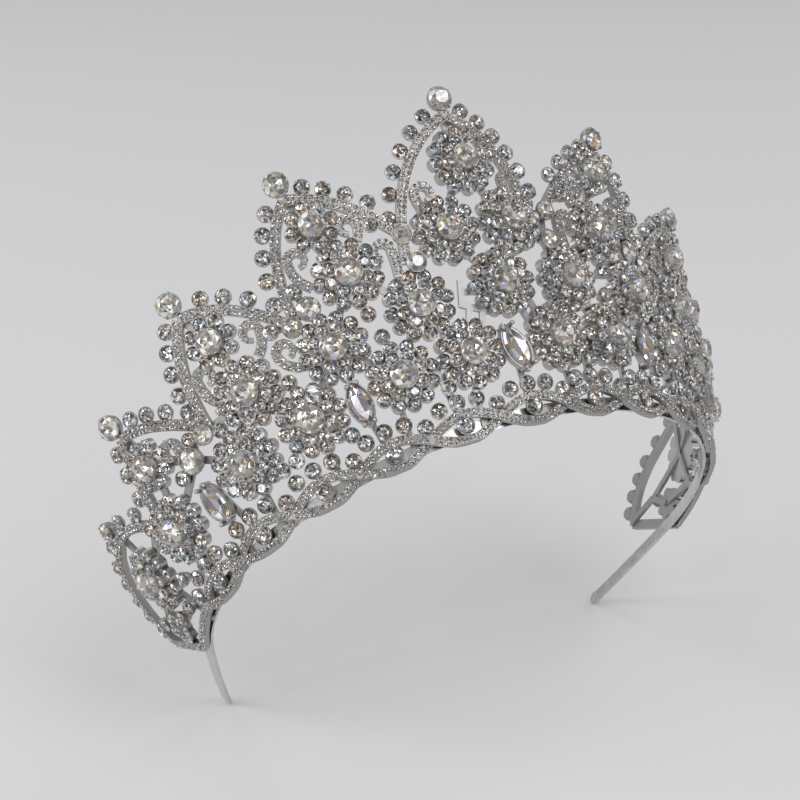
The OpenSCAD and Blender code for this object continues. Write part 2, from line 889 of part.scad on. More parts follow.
// Flat strips of the lattice on one side, from place to place.
function lattice_links() = concat(
    [
        [[lower_arcs[0], lower_height], [middle_arcs[0], middle_heights[0]]],
        [[lower_arcs[1], lower_height], [middle_arcs[0], middle_heights[0]]],
        [[lower_arcs[1], lower_height], [middle_arcs[1], middle_heights[1]]],
        [[lower_arcs[2], lower_height], [middle_arcs[1], middle_heights[1]]],
        [[lower_arcs[2], lower_height], [middle_arcs[2], middle_heights[2]]],
        [[lower_arcs[3], lower_height], [middle_arcs[2], middle_heights[2]]],
        [[lower_arcs[3], lower_height], [71.9, 29]],
        [[lower_arcs[4], lower_height], [71.9, 29]],
        [[lower_arcs[4], lower_height], [top_arcs[2], top_heights[2]]],
        [[71.9, 29], [top_arcs[2], top_heights[2]]],
        [[lower_arcs[4], lower_height], [90.6, 27]],
        [[lower_arcs[5], lower_height], [90.6, 27]],
        [[middle_arcs[0], middle_heights[0]], [14.8, 44.6]],
        [[14.8, 44.6], [upper_arcs[0], upper_heights[0]]],
        [[14.8, 44.6], [15.6, 52]],
        [[middle_arcs[0], middle_heights[0]], [upper_arcs[1], upper_heights[1]]],
        [[middle_arcs[1], middle_heights[1]], [upper_arcs[1], upper_heights[1]]],
        [[upper_arcs[1], upper_heights[1]], [top_arcs[0], top_heights[0]]],
        [[middle_arcs[1], middle_heights[1]], [37.4, 43.6]],
        [[37.4, 43.6], [38.4, 48.6]],
        [[37.4, 43.6], [45.7, 42.8]],
        [[middle_arcs[2], middle_heights[2]], [top_arcs[1], top_heights[1]]],
        [[middle_arcs[2], middle_heights[2]], [66.9, 31.9]]
    ],
    [
        for (i = [0:len(top_arcs) - 1])
            [[top_arcs[i], top_heights[i]], tip_foot(i + 1)]
    ],
    [
        [[lower_arcs[5], lower_height], tip_foot(4)],
        [[lower_arcs[5], lower_height], [117.5, 16.8]],
        [[117.5, 16.8], last_foot],
        [[71.9, 29], [75.9, 27.6]],
        [[71.9, 29], [69.9, 33.3]],
        [end_flower, [117.5, 16.8]],
        [end_flower, [100.4, 8.8]]
    ]
);

module lattice(side)
    color(metal)
    {
        for (link = lattice_links())
            strip([side * link[0][0], link[0][1]], [side * link[1][0], link[1][1]]);
        for (stem = stems)
            strip([side * stem[0], stem_foot], [side * stem[1], lower_height], stem_width);
    }

// The open frames beside the front marquise, from place to place: two legs, the bar over
// them, and the riser and arm above it.
frame_width = 1.5;
frame_links = [
    [[8.9, 25.4], [6.9, 31.4]],
    [[6.1, 24.6], [4.1, 30.6]],
    [[8.4, 32.4], [2.6, 29.3]],
    [[8.4, 31.8], [6.9, 38.2]],
    [[7.6, 35.4], [2.4, 34.4]]
];

// The middle of the lattice, with the open frames beside the front marquise.
module lattice_front()
    color(metal)
    {
        strip([0, stem_foot], [0, marquise_heights[0]], stem_width);
        strip(centre_flower, [-upper_arcs[0], upper_heights[0]]);
        strip(centre_flower, [upper_arcs[0], upper_heights[0]]);
        strip([-upper_arcs[0], upper_heights[0]], crest_flower);
        strip([upper_arcs[0], upper_heights[0]], crest_flower);
        strip(crest_flower, tip_foot(0));
        for (side = [-1, 1], link = frame_links)
            strip([side * link[0][0], link[0][1]], [side * link[1][0], link[1][1]], frame_width);
    }

// ---------------------------------------------------------------- build list

head_band();
lattice_front();
lattice(-1);  // lattice_left
lattice(1);  // lattice_right
braid_front();
braid_left();
braid_right();
end_panel(-1);  // end_panel_left
end_panel(1);  // end_panel_right
peak(1, 0);  // peak_front
peak(-1, 1);  // peak_left_1
peak(-1, 2);  // peak_left_2
peak(-1, 3);  // peak_left_3
peak(-1, 4);  // peak_left_4
peak(1, 1);  // peak_right_1
peak(1, 2);  // peak_right_2
peak(1, 3);  // peak_right_3
peak(1, 4);  // peak_right_4
centre_line_flower(centre_flower);  // centre_flower_casting
centre_line_flower(crest_flower);  // crest_flower_casting
lower_flower(-1, 0);  // lower_flower_left_1
lower_flower(-1, 1);  // lower_flower_left_2
lower_flower(-1, 2);  // lower_flower_left_3
lower_flower(-1, 3);  // lower_flower_left_4
lower_flower(-1, 4);  // lower_flower_left_5
lower_flower(-1, 5);  // lower_flower_left_6
lower_flower(1, 0);  // lower_flower_right_1
lower_flower(1, 1);  // lower_flower_right_2
lower_flower(1, 2);  // lower_flower_right_3
lower_flower(1, 3);  // lower_flower_right_4
lower_flower(1, 4);  // lower_flower_right_5
lower_flower(1, 5);  // lower_flower_right_6
middle_flower(-1, 0);  // middle_flower_left_1
middle_flower(-1, 1);  // middle_flower_left_2
middle_flower(-1, 2);  // middle_flower_left_3
middle_flower(1, 0);  // middle_flower_right_1
middle_flower(1, 1);  // middle_flower_right_2
middle_flower(1, 2);  // middle_flower_right_3
upper_flower(-1, 0);  // upper_flower_left_1
upper_flower(-1, 1);  // upper_flower_left_2
upper_flower(1, 0);  // upper_flower_right_1
upper_flower(1, 1);  // upper_flower_right_2
for (i = [0:2]) top_flower(-1, i);  // top_flowers_left
for (i = [0:2]) top_flower(1, i);  // top_flowers_right
for (side = [-1, 1]) marquise_settings(side);
marquise_stones();  // marquise_gems
for (side = [-1, 1]) row_settings(side);  // row_cups
for (side = [-1, 1]) row_stones(side);  // row_gems
eye_settings();  // eye_cups
eye_stones();  // eye_gems
for (side = [-1, 1]) joint_settings(side);  // joint_cups
joint_stones();  // joint_gems
for (side = [-1, 1]) edge_stones(side);  // edge_gems
tip_stones();  // tip_gems
union() { double_centre_stones(); top_centre_stones(); }  // flower_centre_gems
lower_ring_stones(-1);  // lower_ring_gems_left
lower_ring_stones(1);  // lower_ring_gems_right
middle_ring_stones();  // middle_ring_gems
union() { upper_ring_stones(); top_ring_stones(); }  // upper_ring_gems
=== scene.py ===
import math

import bpy
import numpy as np
from mathutils import Matrix, Vector


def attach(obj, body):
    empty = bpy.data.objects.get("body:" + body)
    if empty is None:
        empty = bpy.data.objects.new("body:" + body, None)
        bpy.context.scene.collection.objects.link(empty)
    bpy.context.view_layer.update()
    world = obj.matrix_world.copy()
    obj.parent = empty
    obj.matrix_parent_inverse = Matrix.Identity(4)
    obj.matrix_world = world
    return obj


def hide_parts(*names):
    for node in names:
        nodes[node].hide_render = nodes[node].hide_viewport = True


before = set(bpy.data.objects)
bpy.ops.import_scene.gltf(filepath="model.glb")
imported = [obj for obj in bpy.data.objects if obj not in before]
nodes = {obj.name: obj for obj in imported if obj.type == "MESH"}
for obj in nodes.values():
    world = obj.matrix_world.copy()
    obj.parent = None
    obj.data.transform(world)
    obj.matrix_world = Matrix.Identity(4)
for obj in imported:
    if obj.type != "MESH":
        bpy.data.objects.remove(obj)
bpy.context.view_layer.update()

MM = 0.001
DEG = math.pi / 180
rng = np.random.default_rng(20)

# ---------------------------------------------------------------- the wall of the tiara

# The same driving dimensions as the solids, in millimetres and degrees.
FRONT_RADIUS = 80.0
SIDE_RADIUS = 50.0
ARM_RADIUS = 400.0
JOIN_HEADING = 42.0 * DEG
END_ARC = 115.0
FLARE = 22.5 * DEG
FOOT_TRIM = 0.9
# Height up the slope of the lands under the lenses, and how far that leans them out.
LAND_HEIGHT = 0.45
LAND_REACH = LAND_HEIGHT * math.sin(FLARE)

JOIN_ARC = FRONT_RADIUS * JOIN_HEADING
END_HEADING = JOIN_HEADING + (END_ARC - JOIN_ARC) / SIDE_RADIUS
JOIN_SIDE = np.array([math.sin(JOIN_HEADING), -math.cos(JOIN_HEADING)])
END_SIDE = np.array([math.sin(END_HEADING), -math.cos(END_HEADING)])
FRONT_CENTRE = np.array([0, FRONT_RADIUS + LAND_REACH])
SIDE_CENTRE = FRONT_CENTRE + (FRONT_RADIUS - SIDE_RADIUS) * JOIN_SIDE
ARM_CENTRE = SIDE_CENTRE + (SIDE_RADIUS - ARM_RADIUS) * END_SIDE


def plan_arc(s):
    """Centre, radius and heading of the base line at an arc position s of the right side."""
    if s < JOIN_ARC:
        return FRONT_CENTRE, FRONT_RADIUS, s / FRONT_RADIUS
    if s < END_ARC:
        return SIDE_CENTRE, SIDE_RADIUS, JOIN_HEADING + (s - JOIN_ARC) / SIDE_RADIUS
    return ARM_CENTRE, ARM_RADIUS, END_HEADING + (s - END_ARC) / ARM_RADIUS


def wall(s, v, w=0.0):
    """Point in metres at arc position s, height v up the slope and lift w off it."""
    centre, radius, heading = plan_arc(abs(s))
    reach = radius + v * math.sin(FLARE) + w * math.cos(FLARE)
    x = centre[0] + reach * math.sin(heading)
    y = centre[1] - reach * math.cos(heading)
    z = v * math.cos(FLARE) - w * math.sin(FLARE) - FOOT_TRIM
    return Vector((math.copysign(x, s) if s else x, y, z)) * MM


def wall_axes(s):
    """Directions along the wall, up its slope and straight off it."""
    heading = math.copysign(plan_arc(abs(s))[2], s)
    along = Vector((math.cos(heading), math.sin(heading), 0))
    out = Vector((math.sin(heading), -math.cos(heading), 0))
    up = out * math.sin(FLARE) + Vector((0, 0, math.cos(FLARE)))
    return along, up, along.cross(up)


def spread(s, v):
    """How much longer the wall is at height v than along its base line."""
    return 1 + v * math.sin(FLARE) / plan_arc(abs(s))[1]


# ---------------------------------------------------------------- meshes from parts


class Pile:
    """Collects copies of small forms into one mesh, with a tone for each face."""

    def __init__(self):
        self.points = []
        self.faces = []
        self.slots = []
        self.tones = []
        self.count = 0

    def add(self, form, matrix, slot=0, tones=None):
        """Adds a form, (points, faces), placed by a matrix. Tones is one colour per face."""
        points, faces = form
        m = np.array(matrix)
        self.points.append(points @ m[:3, :3].T + m[:3, 3])
        self.faces.extend([tuple(i + self.count for i in face) for face in faces])
        self.slots.extend([slot] * len(faces))
        self.tones.extend(tones if tones is not None else [(1.0, 1.0, 1.0)] * len(faces))
        self.count += len(points)

    def build(self, name, materials):
        mesh = bpy.data.meshes.new(name)
        mesh.from_pydata(np.concatenate(self.points).tolist(), [], self.faces)
        for material in materials:
            mesh.materials.append(material)
        mesh.polygons.foreach_set("material_index", self.slots)
        corner_tones = np.ones((len(mesh.loops), 4), dtype=np.float32)
        sizes = [len(face) for face in self.faces]
        corner_tones[:, :3] = np.repeat(np.array(self.tones), sizes, axis=0)
        layer = mesh.attributes.new("tone", "FLOAT_COLOR", "CORNER")
        layer.data.foreach_set("color", corner_tones.ravel())
        mesh.validate()
        mesh.update()
        piece = bpy.data.objects.new(name, mesh)
        bpy.context.collection.objects.link(piece)
        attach(piece, "root")
        return piece


def placed(origin, along, out, size=1.0, spin=0.0):
    """Matrix that puts a form at origin: its z along out, its x along the given direction."""
    z = Vector(out).normalized()
    x = Vector(along)
    x = (x - z * x.dot(z)).normalized()
    turn = Matrix((x, z.cross(x), z)).transposed().to_4x4()
    return Matrix.Translation(origin) @ turn @ Matrix.Rotation(spin, 4, "Z") @ Matrix.Scale(size, 4)


def circle_points(radius, z, count, turn=0.0):
    angles = turn + np.arange(count) * 2 * math.pi / count
    return np.stack([radius * np.cos(angles), radius * np.sin(angles), np.full(count, z)], axis=1)


def strip_faces(first, second, count):
    """Quads between two rings of the same count."""
    return [
        (first + k, first + (k + 1) % count, second + (k + 1) % count, second + k)
        for k in range(count)
    ]


# ---------------------------------------------------------------- stones

# Radii and heights of a brilliant, in diameters.
GIRDLE_TOP = 0.05
CROWN_MIDDLE = (0.405, 0.14)
TABLE = (0.285, 0.215)
INNER_STAR = (0.16, 0.175)
CULET = 0.12

STONE_SIDES = 8
# Order of a brilliant's faces: the girdle, then for each side its crown and its table.
GIRDLE_FACES = 2 * STONE_SIDES
FACES_A_SIDE = 7
TABLE_FACES_A_SIDE = 3

# Radii and heights of a pavé stone, in diameters.
SMALL_SIDES = 8
SMALL_GIRDLE = (0.47, 0.12)
SMALL_TABLE = (0.27, 0.27)
SMALL_CULET = 0.2

# Levels of a marquise stone: shares of its width and length, and height in millimetres.
LONG_LEVELS = [(1, 1, 0.0), (1, 1, 0.7), (0.84, 0.88, 1.25), (0.6, 0.72, 1.65)]
# The keel down its table: half its length as a share of the stone's, and its height.
LONG_KEEL = 0.2
LONG_KEEL_HEIGHT = 1.3
# Facets in a quarter of its outline.
LONG_QUARTER = 4


def brilliant():
    """A round stone of unit diameter: girdle, halves, kites, stars and the star in its table."""
    sides = STONE_SIDES
    half = math.pi / sides
    rings = [
        circle_points(0.5, 0.0, 2 * sides),
        circle_points(0.5, GIRDLE_TOP, 2 * sides),
        circle_points(*CROWN_MIDDLE, sides),
        circle_points(*TABLE, sides, half),
        circle_points(*INNER_STAR, sides),
        np.array([[0, 0, CULET]]),
    ]
    starts = np.cumsum([0] + [len(r) for r in rings]).tolist()
    low, girdle, middle, table, star, culet = starts[:6]
    faces = strip_faces(low, girdle, 2 * sides)
    for k in range(sides):
        after = (k + 1) % sides
        before = (k - 1) % sides
        at = girdle + 2 * k
        right = girdle + 2 * k + 1
        left = girdle + (2 * k - 1) % (2 * sides)
        faces.append((middle + k, left, at))
        faces.append((middle + k, at, right))
        faces.append((middle + k, right, middle + after, table + k))
        faces.append((table + before, middle + k, table + k))
        faces.append((table + before, table + k, star + k))
        faces.append((table + k, star + after, star + k))
        faces.append((star + k, star + after, culet))
    return np.concatenate(rings), faces


def small_stone():
    """A pavé stone of unit diameter: a ring of crown facets round a sunken star."""
    sides = SMALL_SIDES
    rings = [
        circle_points(0.5, 0.0, sides),
        circle_points(*SMALL_GIRDLE, sides),
        circle_points(*SMALL_TABLE, sides, math.pi / sides),
        np.array([[0, 0, SMALL_CULET]]),
    ]
    faces = strip_faces(0, sides, sides)
    middle, table, culet = sides, 2 * sides, 3 * sides
    for k in range(sides):
        after = (k + 1) % sides
        faces.append((middle + k, middle + after, table + k))
        faces.append((middle + after, table + after, table + k))
        faces.append((table + k, table + after, culet))
    return np.concatenate(rings), faces


def marquise(length, width):
    """A marquise stone along y: girdle, long crown facets and a keel down its table."""
    count = 4 * LONG_QUARTER
    arc_radius = (length * length / width + width) / 4
    half_turn = math.asin(length / 2 / arc_radius)

    def outline(scale_x, scale_y, z):
        angles = np.linspace(-half_turn, half_turn, count // 2 + 1)[:-1]
        right = [
            (arc_radius * math.cos(a) - arc_radius + width / 2, arc_radius * math.sin(a))
            for a in angles
        ]
        left = [(-x, -y) for x, y in right]
        return np.array([[x * scale_x, y * scale_y, z] for x, y in right + left])

    rings = [outline(*level) for level in LONG_LEVELS]
    top = rings[-1]
    keel = LONG_KEEL * length
    rings.append(np.array([[0, -keel, LONG_KEEL_HEIGHT], [0, keel, LONG_KEEL_HEIGHT]]))
    steps = len(LONG_LEVELS) - 1
    faces = []
    for level in range(steps):
        faces += strip_faces(level * count, (level + 1) * count, count)
    table = steps * count
    low, high = table + count, table + count + 1
    for k in range(count):
        after = (k + 1) % count
        toward_high = top[k][1] + top[after][1] > 0
        faces.append((table + k, table + after, high if toward_high else low))
    faces.append((table + LONG_QUARTER, high, low))
    faces.append((table + 3 * LONG_QUARTER, low, high))
    return np.concatenate(rings), faces


# Painted reflections of facets: tones from dark to flashing, and how often each comes up.
TONE_STEPS = [0.06, 0.15, 0.28, 0.45, 0.8, 1.7]
TONE_SHARES = [0.14, 0.24, 0.26, 0.18, 0.11, 0.07]
PAVE_SHARES = [0.14, 0.19, 0.23, 0.21, 0.14, 0.09]
LARGE_STEPS = [0.18, 0.3, 0.4, 0.52, 0.75, 1.4]
LARGE_SHARES = [0.1, 0.22, 0.3, 0.22, 0.11, 0.05]
DARKEST = 0.03
BRIGHTEST = 2.0
GREY_NOISE = 0.15
TINT_NOISE = 0.02
# Warm white, champagne and cool white crystal.
STONE_TINTS = np.array([(1.0, 0.95, 0.895), (1.0, 0.87, 0.74), (0.93, 0.97, 1.0)])
TINT_SHARES = [0.56, 0.24, 0.2]
# A few facets show a painted fire colour.
FIRE = np.array([
    [1.0, 0.62, 0.35],
    [0.62, 0.68, 1.0],
    [0.85, 0.74, 1.0],
    [1.0, 0.88, 0.6],
    [0.7, 0.97, 0.95],
])
FIRE_SHARE = 0.07
FIRE_STRENGTH = (0.5, 1.0)
# Some stones have a painted flash: their whole table is painted as if it mirrors a lamp.
FLASH_SHARE = 0.03
FLASH = (2.0, 2.1, 2.2)
# The rim of a stone has a painted highlight all round.
GIRDLE_HIGHLIGHT = (0.8, 0.785, 0.77)


def painted_reflection_tones(count, steps=TONE_STEPS, shares=TONE_SHARES, mixed=False):
    """Painted reflections on the facets of a foiled stone, at random: greys, whites and a few
    painted fire colours.

    A mixed stone has warm and cool facets side by side; the others have one tint each.
    """
    base = rng.choice(steps, size=count, p=shares)
    grey = base * (1 + rng.normal(0, GREY_NOISE, count))
    tint = STONE_TINTS[rng.choice(len(STONE_TINTS), size=count if mixed else 1, p=TINT_SHARES)]
    tones = grey[:, None] * tint * (1 + rng.normal(0, TINT_NOISE, (count, 3)))
    # Some facets get a painted fire colour.
    lit = rng.random(count) < FIRE_SHARE
    hue = FIRE[rng.integers(0, len(FIRE), lit.sum())]
    tones[lit] = hue * rng.uniform(*FIRE_STRENGTH, (lit.sum(), 1))
    return [tuple(t) for t in np.clip(tones, DARKEST, BRIGHTEST)]


# ---------------------------------------------------------------- stone places from the frame


def islands(node):
    """Points of each separate solid of a node of the frame."""
    mesh = nodes[node].data
    points = np.empty(len(mesh.vertices) * 3)
    mesh.vertices.foreach_get("co", points)
    points = points.reshape(-1, 3)
    _, same = np.unique(np.round(points, 6), axis=0, return_inverse=True)
    same = same.ravel()
    edges = np.array([e.vertices[:] for e in mesh.edges])
    a, b = same[edges[:, 0]], same[edges[:, 1]]
    label = np.arange(same.max() + 1)
    while True:
        low = np.minimum(label[a], label[b])
        before = label.copy()
        np.minimum.at(label, a, low)
        np.minimum.at(label, b, low)
        label = label[label]
        if (label == before).all():
            break
    groups = label[same]
    return [points[groups == g] for g in np.unique(groups)]


# A point inside the ring of the tiara, to tell outward from inward.
HEAD_CENTRE = Vector((0, 60 * MM, 0))


def seat_of(points):
    """Place of a flat stone: seat centre, long direction, outward direction, length and width."""
    middle = points.mean(axis=0)
    _, _, axes = np.linalg.svd(points - middle, full_matrices=False)
    long_axis, out = Vector(axes[0]), Vector(axes[2])
    centre = Vector(middle)
    if out.dot(centre - HEAD_CENTRE) < 0:
        out = -out
    side = out.cross(long_axis)
    spans = [points @ np.array(axis) for axis in (long_axis, side, out)]
    mid_long, mid_side = [(s.max() + s.min()) / 2 for s in spans[:2]]
    seat = long_axis * mid_long + side * mid_side + out * spans[2].min()
    return seat, long_axis, out, np.ptp(spans[0]), np.ptp(spans[1])


# ---------------------------------------------------------------- materials


def new_material(name):
    material = bpy.data.materials.new(name)
    material.use_nodes = True
    tree = material.node_tree
    return material, tree, tree.nodes["Principled BSDF"]


def add_node(tree, kind, **settings):
    node = tree.nodes.new(kind)
    for key, value in settings.items():
        setattr(node, key, value)
    return node


# Tones of the painted inner reflections: from which share of the cells on, and how bright.
CELL_REFLECTIONS = [(0.0, 0.45), (0.22, 0.75), (0.5, 1.0), (0.75, 1.35), (0.9, 2.1)]


def crystal_material(name, cell_size, tint, contrast=1.0, bend=0.5, foil=0.85):
    """Cut crystal with a foiled back: a painted reflection tone for each facet, broken up by
    painted inner reflections.
    """
    material, tree, shader = new_material(name)
    link = tree.links.new
    tone = add_node(tree, "ShaderNodeAttribute", attribute_name="tone")
    where = add_node(tree, "ShaderNodeTexCoord")
    cells = add_node(tree, "ShaderNodeTexVoronoi", feature="F1")
    cells.inputs["Scale"].default_value = 1 / cell_size
    link(where.outputs["Object"], cells.inputs["Vector"])
    # Painted inner reflections: each cell lightens or darkens the colour of its patch of the facet.
    split = add_node(tree, "ShaderNodeSeparateColor")
    link(cells.outputs["Color"], split.inputs["Color"])
    ramp = add_node(tree, "ShaderNodeValToRGB")
    ramp.color_ramp.interpolation = "CONSTANT"
    stops = ramp.color_ramp.elements
    for index, (position, value) in enumerate(CELL_REFLECTIONS):
        stop = stops[index] if index < 2 else stops.new(position)
        stop.position = position
        grey = 1 + contrast * (value - 1)
        stop.color = (grey, grey, grey, 1)
    link(split.outputs["Red"], ramp.inputs["Fac"])
    mix = add_node(tree, "ShaderNodeMix", data_type="RGBA", blend_type="MULTIPLY")
    mix.inputs["Factor"].default_value = 1
    link(tone.outputs["Color"], mix.inputs["A"])
    link(ramp.outputs["Color"], mix.inputs["B"])
    tinted = add_node(tree, "ShaderNodeMix", data_type="RGBA", blend_type="MULTIPLY")
    tinted.inputs["Factor"].default_value = 1
    tinted.inputs["B"].default_value = (*tint, 1)
    link(mix.outputs["Result"], tinted.inputs["A"])
    link(tinted.outputs["Result"], shader.inputs["Base Color"])
    # The patches also face a little apart, as inner facets do.
    centred = add_node(tree, "ShaderNodeVectorMath", operation="SUBTRACT")
    centred.inputs[1].default_value = (0.5, 0.5, 0.5)
    link(cells.outputs["Color"], centred.inputs[0])
    scaled = add_node(tree, "ShaderNodeVectorMath", operation="SCALE")
    scaled.inputs["Scale"].default_value = bend
    link(centred.outputs["Vector"], scaled.inputs[0])
    geometry = add_node(tree, "ShaderNodeNewGeometry")
    bent = add_node(tree, "ShaderNodeVectorMath", operation="ADD")
    link(geometry.outputs["Normal"], bent.inputs[0])
    link(scaled.outputs["Vector"], bent.inputs[1])
    unit = add_node(tree, "ShaderNodeVectorMath", operation="NORMALIZE")
    link(bent.outputs["Vector"], unit.inputs[0])
    link(unit.outputs["Vector"], shader.inputs["Normal"])
    shader.inputs["Metallic"].default_value = foil
    shader.inputs["Roughness"].default_value = 0.12
    shader.inputs["Coat Weight"].default_value = 1.0
    shader.inputs["Coat Roughness"].default_value = 0.02
    shader.inputs["Coat IOR"].default_value = 1.6
    return material


# The darker tone of the metal's unevenness, where both tones set in, and its relief.
METAL_SHADE = 0.82
METAL_STOPS = (0.3, 0.7)
METAL_RELIEF = 0.05 * MM


def metal_material(name, colour, low, high, grain, bump):
    """Bright plated alloy with the faint unevenness of a polished casting."""
    material, tree, shader = new_material(name)
    link = tree.links.new
    where = add_node(tree, "ShaderNodeTexCoord")
    noise = add_node(tree, "ShaderNodeTexNoise")
    noise.inputs["Scale"].default_value = 1 / grain
    noise.inputs["Detail"].default_value = 3
    link(where.outputs["Object"], noise.inputs["Vector"])
    shine = add_node(tree, "ShaderNodeMapRange")
    shine.inputs["To Min"].default_value = low
    shine.inputs["To Max"].default_value = high
    link(noise.outputs["Fac"], shine.inputs["Value"])
    link(shine.outputs["Result"], shader.inputs["Roughness"])
    ramp = add_node(tree, "ShaderNodeValToRGB")
    stops = ramp.color_ramp.elements
    stops[0].position, stops[1].position = METAL_STOPS
    stops[0].color = (*[METAL_SHADE * c for c in colour], 1)
    stops[1].color = (*colour, 1)
    link(noise.outputs["Fac"], ramp.inputs["Fac"])
    link(ramp.outputs["Color"], shader.inputs["Base Color"])
    relief = add_node(tree, "ShaderNodeBump")
    relief.inputs["Strength"].default_value = bump
    relief.inputs["Distance"].default_value = METAL_RELIEF
    link(noise.outputs["Fac"], relief.inputs["Height"])
    link(relief.outputs["Normal"], shader.inputs["Normal"])
    shader.inputs["Metallic"].default_value = 1.0
    return material


crystal = crystal_material("crystal_round", 0.62 * MM, (1.0, 1.0, 1.0), 0.85, 0.45)
crystal_small = crystal_material("crystal_pave", 0.4 * MM, (0.95, 0.925, 0.9))
crystal_large = crystal_material("crystal_large", 1.4 * MM, (1.0, 0.99, 0.97), 0.45, 0.2, 0.65)
crystal_long = crystal_material("crystal_marquise", 3.0 * MM, (1.0, 0.99, 0.98), 0.25, 0.08)
silver = metal_material("plated_silver", (0.56, 0.55, 0.54), 0.27, 0.4, 0.5 * MM, 0.25)
# Darker metal of the pavé pieces, which also paints the shade on the lattice behind them.
pave_and_shade_silver = metal_material("plated_pave_and_painted_shade", (0.44, 0.435, 0.43), 0.32, 0.44, 0.4 * MM, 0.4)
cup_silver = metal_material("plated_cup", (0.42, 0.415, 0.405), 0.3, 0.42, 0.4 * MM, 0.25)
band_silver = metal_material("plated_band", (0.68, 0.675, 0.67), 0.14, 0.24, 2.5 * MM, 0.1)

# Pieces set with pavé stones have a darker metal, and the lattice behind them has it too, as
# painted shade.
PAVE_AND_SHADED_NODES = ("peak_", "braid_", "end_panel_", "lattice_")
for name, node in nodes.items():
    finish = band_silver if name == "head_band" else silver
    if name.startswith(PAVE_AND_SHADED_NODES):
        finish = pave_and_shade_silver
    if name.endswith("_cups"):
        finish = cup_silver
    for slot in node.material_slots:
        slot.material = finish

# ---------------------------------------------------------------- claws


CLAW_SIDES = 6
# How far the rounded tip of a claw reaches past its last ring, inward and down.
CLAW_TIP = (0.03, 0.02)


def claw_form():
    """A claw over the edge of a unit stone at +x: a tapered prong with a rounded tip."""
    spine = [
        (0.49, -0.15, 0.035),
        (0.51, 0.03, 0.037),
        (0.505, 0.09, 0.04),
        (0.465, 0.125, 0.042),
        (0.43, 0.13, 0.034),
    ]
    sides = CLAW_SIDES
    rings = []
    for index, (x, z, radius) in enumerate(spine):
        before = spine[max(index - 1, 0)]
        after = spine[min(index + 1, len(spine) - 1)]
        run = np.array([after[0] - before[0], after[1] - before[1]])
        run /= np.linalg.norm(run)
        across = np.array([-run[1], run[0]])
        for k in range(sides):
            angle = 2 * math.pi * k / sides
            reach = radius * math.cos(angle)
            rings.append((x + across[0] * reach, radius * math.sin(angle), z + across[1] * reach))
    faces = []
    for level in range(len(spine) - 1):
        faces += [
            tuple(reversed(face))
            for face in strip_faces(level * sides, (level + 1) * sides, sides)
        ]
    tip = len(rings)
    rings.append((spine[-1][0] - CLAW_TIP[0], 0.0, spine[-1][1] - CLAW_TIP[1]))
    last = (len(spine) - 1) * sides
    faces += [(last + (k + 1) % sides, last + k, tip) for k in range(sides)]
    return np.array(rings), faces


STONE = brilliant()
CLAW = claw_form()

# Size of a cut stone as a share of the plain one that it stands for.
STONE_SPREAD = 1.03
# Stones wider than this show calm, broad facets with milder painted reflections; smaller ones have
# painted glitter.
LARGE_STONE = 4.3 * MM

# Places of the single flowers under the tips of the side peaks: arc positions and heights.
TOP_FLOWERS = [(30.4, 63.8), (56.4, 48.3), (80.4, 35.9)]
# On the left, the first one hangs lower under its bar than its twin on the right.
LOW_FLOWER_DROP = 2.8
LOW_FLOWER = (-TOP_FLOWERS[0][0], TOP_FLOWERS[0][1])
LOW_FLOWER_SEAT = wall(*LOW_FLOWER)
LOW_FLOWER_SHIFT = wall(LOW_FLOWER[0], LOW_FLOWER[1] - LOW_FLOWER_DROP) - LOW_FLOWER_SEAT
# Stones nearer to its seat than this belong to it.
LOW_FLOWER_REACH = 6.5 * MM
# The casting of a single flower, in millimetres.
FLOWER_BACK = -1.0
FLOWER_TOP = 0.9
FLOWER_RING = 4.8
FLOWER_LOBE = 1.77
FLOWER_LOBES = 8
COLLAR_FOOT = 3.8
COLLAR_RIM = 3.1
COLLAR_TOP = 2.6
COLLAR_SIDES = 48
FLOWER_STEPS = 96


def flower_form():
    """Casting of a single flower: a disc with a lobe under each stone, and a conical collar."""
    steps = FLOWER_STEPS
    outline = []
    for k in range(steps):
        angle = 2 * math.pi * k / steps
        lobe_step = 2 * math.pi / FLOWER_LOBES
        off = angle - lobe_step * round(angle / lobe_step)
        inside = FLOWER_LOBE ** 2 - (FLOWER_RING * math.sin(off)) ** 2
        reach = FLOWER_RING
        if inside > 0:
            reach = max(reach, FLOWER_RING * math.cos(off) + math.sqrt(inside))
        outline.append((reach * math.cos(angle), reach * math.sin(angle)))
    rings = [
        np.array([(x, y, FLOWER_BACK) for x, y in outline]),
        np.array([(x, y, FLOWER_TOP) for x, y in outline]),
        circle_points(COLLAR_FOOT, 0, COLLAR_SIDES),
        circle_points(COLLAR_RIM, COLLAR_TOP, COLLAR_SIDES),
    ]
    foot, rim = 2 * steps, 2 * steps + COLLAR_SIDES
    faces = strip_faces(0, steps, steps) + strip_faces(foot, rim, COLLAR_SIDES)
    faces.append(tuple(reversed(range(steps))))
    faces.append(tuple(range(steps, 2 * steps)))
    faces.append(tuple(reversed(range(foot, rim))))
    faces.append(tuple(range(rim, rim + COLLAR_SIDES)))
    return np.concatenate(rings), faces


def top_flower_castings():
    """The castings of the left side's single flowers, with the first one at its lower place."""
    castings = Pile()
    form = flower_form()
    for s, v in TOP_FLOWERS:
        drop = LOW_FLOWER_DROP if s == -LOW_FLOWER[0] else 0
        along, _, out = wall_axes(-s)
        castings.add(form, placed(wall(-s, v - drop), along, out, MM))
    piece = castings.build("castings_top_flowers_left", [silver])
    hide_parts("top_flowers_left")


top_flower_castings()


def smooth(piece):
    piece.data.polygons.foreach_set("use_smooth", [True] * len(piece.data.polygons))


